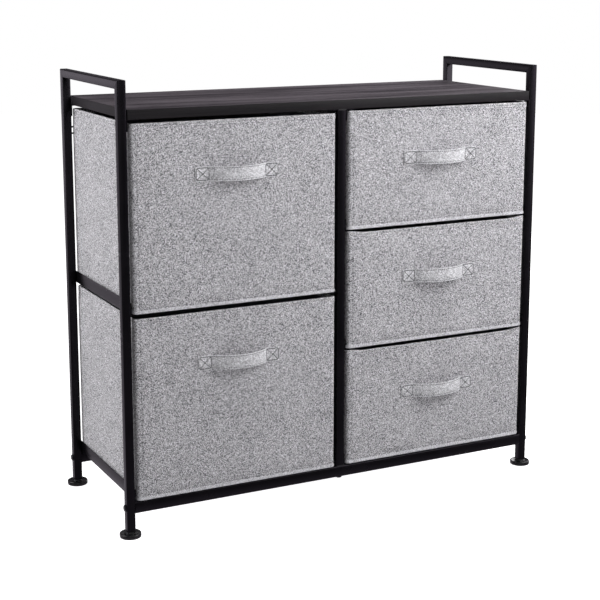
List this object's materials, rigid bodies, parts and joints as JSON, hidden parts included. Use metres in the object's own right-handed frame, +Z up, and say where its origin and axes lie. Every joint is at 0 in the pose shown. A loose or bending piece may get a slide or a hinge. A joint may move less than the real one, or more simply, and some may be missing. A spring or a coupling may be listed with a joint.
{
  "type": "fabric drawer dresser",
  "caption": "Low dresser with a steel tube frame, end handles, a laminated board top, pull-out fabric bins with strap handles and levelling feet.",
  "frame": {"origin": "on the floor, midway between the four posts", "axes": "+X to the right, +Y to the back (bins open towards -Y), +Z up"},
  "size_m": [0.842, 0.3316, 0.775],
  "materials": {
    "black_tube_steel": "satin",
    "black_sheet_steel": "satin",
    "black_fasteners": "satin",
    "insert_steel": "satin",
    "stud_steel": "satin",
    "plug_plastic": "matte",
    "foot_plastic": "satin",
    "board_laminate": "satin",
    "board_edging": "satin",
    "bin_fabric": "matte",
    "strap_webbing": "matte",
    "hardboard": "matte"
  },
  "bodies": {
    "frame": {"board_brackets": "black_sheet_steel", "board_core": "board_laminate", "board_edge_band": "board_edging", "bracket_screws": "black_fasteners", "centre_front_upright": "black_tube_steel", "centre_rear_upright": "black_tube_steel", "front_bottom_rail": "black_tube_steel", "left_bay_lower_inner_runner": "black_sheet_steel", "left_bay_lower_outer_runner": "black_sheet_steel", "left_bay_upper_inner_runner": "black_sheet_steel", "left_bay_upper_outer_runner": "black_sheet_steel", "left_front_post": "black_tube_steel", "left_handle_tube": "black_tube_steel", "left_rear_post": "black_tube_steel", "post_foot_inserts": "plug_plastic", "rail_bolts": "black_fasteners", "rail_end_inserts": "insert_steel", "rear_bottom_rail": "black_tube_steel", "rear_tie_rods": "black_sheet_steel", "right_bay_lower_inner_runner": "black_sheet_steel", "right_bay_lower_outer_runner": "black_sheet_steel", "right_bay_middle_inner_runner": "black_sheet_steel", "right_bay_middle_outer_runner": "black_sheet_steel", "right_bay_upper_inner_runner": "black_sheet_steel", "right_bay_upper_outer_runner": "black_sheet_steel", "right_front_post": "black_tube_steel", "right_handle_tube": "black_tube_steel", "right_rear_post": "black_tube_steel", "runner_screws": "black_fasteners", "upright_bolts": "black_fasteners", "upright_plugs": "plug_plastic"},
    "front_left_foot": {"front_left_foot_pad": "foot_plastic", "front_left_foot_stud": "stud_steel"},
    "front_right_foot": {"front_right_foot_pad": "foot_plastic", "front_right_foot_stud": "stud_steel"},
    "rear_left_foot": {"rear_left_foot_pad": "foot_plastic", "rear_left_foot_stud": "stud_steel"},
    "rear_right_foot": {"rear_right_foot_pad": "foot_plastic", "rear_right_foot_stud": "stud_steel"},
    "lower_left_drawer": {"lower_left_bin_base_board": "hardboard", "lower_left_bin_front_panel": "hardboard", "lower_left_bin_shell": "bin_fabric", "lower_left_bin_strap": "strap_webbing"},
    "upper_left_drawer": {"upper_left_bin_base_board": "hardboard", "upper_left_bin_front_panel": "hardboard", "upper_left_bin_shell": "bin_fabric", "upper_left_bin_strap": "strap_webbing"},
    "lower_right_drawer": {"lower_right_bin_base_board": "hardboard", "lower_right_bin_front_panel": "hardboard", "lower_right_bin_shell": "bin_fabric", "lower_right_bin_strap": "strap_webbing"},
    "middle_right_drawer": {"middle_right_bin_base_board": "hardboard", "middle_right_bin_front_panel": "hardboard", "middle_right_bin_shell": "bin_fabric", "middle_right_bin_strap": "strap_webbing"},
    "upper_right_drawer": {"upper_right_bin_base_board": "hardboard", "upper_right_bin_front_panel": "hardboard", "upper_right_bin_shell": "bin_fabric", "upper_right_bin_strap": "strap_webbing"}
  },
  "joints": [
    {"name": "lower_left_drawer_slide", "type": "slide", "parent": "frame", "child": "lower_left_drawer", "axis": [0, -1, 0], "range_m": [0, 0.22]},
    {"name": "upper_left_drawer_slide", "type": "slide", "parent": "frame", "child": "upper_left_drawer", "axis": [0, -1, 0], "range_m": [0, 0.22]},
    {"name": "lower_right_drawer_slide", "type": "slide", "parent": "frame", "child": "lower_right_drawer", "axis": [0, -1, 0], "range_m": [0, 0.22]},
    {"name": "middle_right_drawer_slide", "type": "slide", "parent": "frame", "child": "middle_right_drawer", "axis": [0, -1, 0], "range_m": [0, 0.22]},
    {"name": "upper_right_drawer_slide", "type": "slide", "parent": "frame", "child": "upper_right_drawer", "axis": [0, -1, 0], "range_m": [0, 0.22]},
    {"name": "front_left_foot_turn", "type": "hinge", "parent": "frame", "child": "front_left_foot", "pos_m": [-0.4025, -0.1425, 0], "axis": [0, 0, 1], "range_deg": [-1080, 1080]},
    {"name": "front_right_foot_turn", "type": "hinge", "parent": "frame", "child": "front_right_foot", "pos_m": [0.4025, -0.1425, 0], "axis": [0, 0, 1], "range_deg": [-1080, 1080]},
    {"name": "rear_left_foot_turn", "type": "hinge", "parent": "frame", "child": "rear_left_foot", "pos_m": [-0.4025, 0.1425, 0], "axis": [0, 0, 1], "range_deg": [-1080, 1080]},
    {"name": "rear_right_foot_turn", "type": "hinge", "parent": "frame", "child": "rear_right_foot", "pos_m": [0.4025, 0.1425, 0], "axis": [0, 0, 1], "range_deg": [-1080, 1080]}
  ]
}
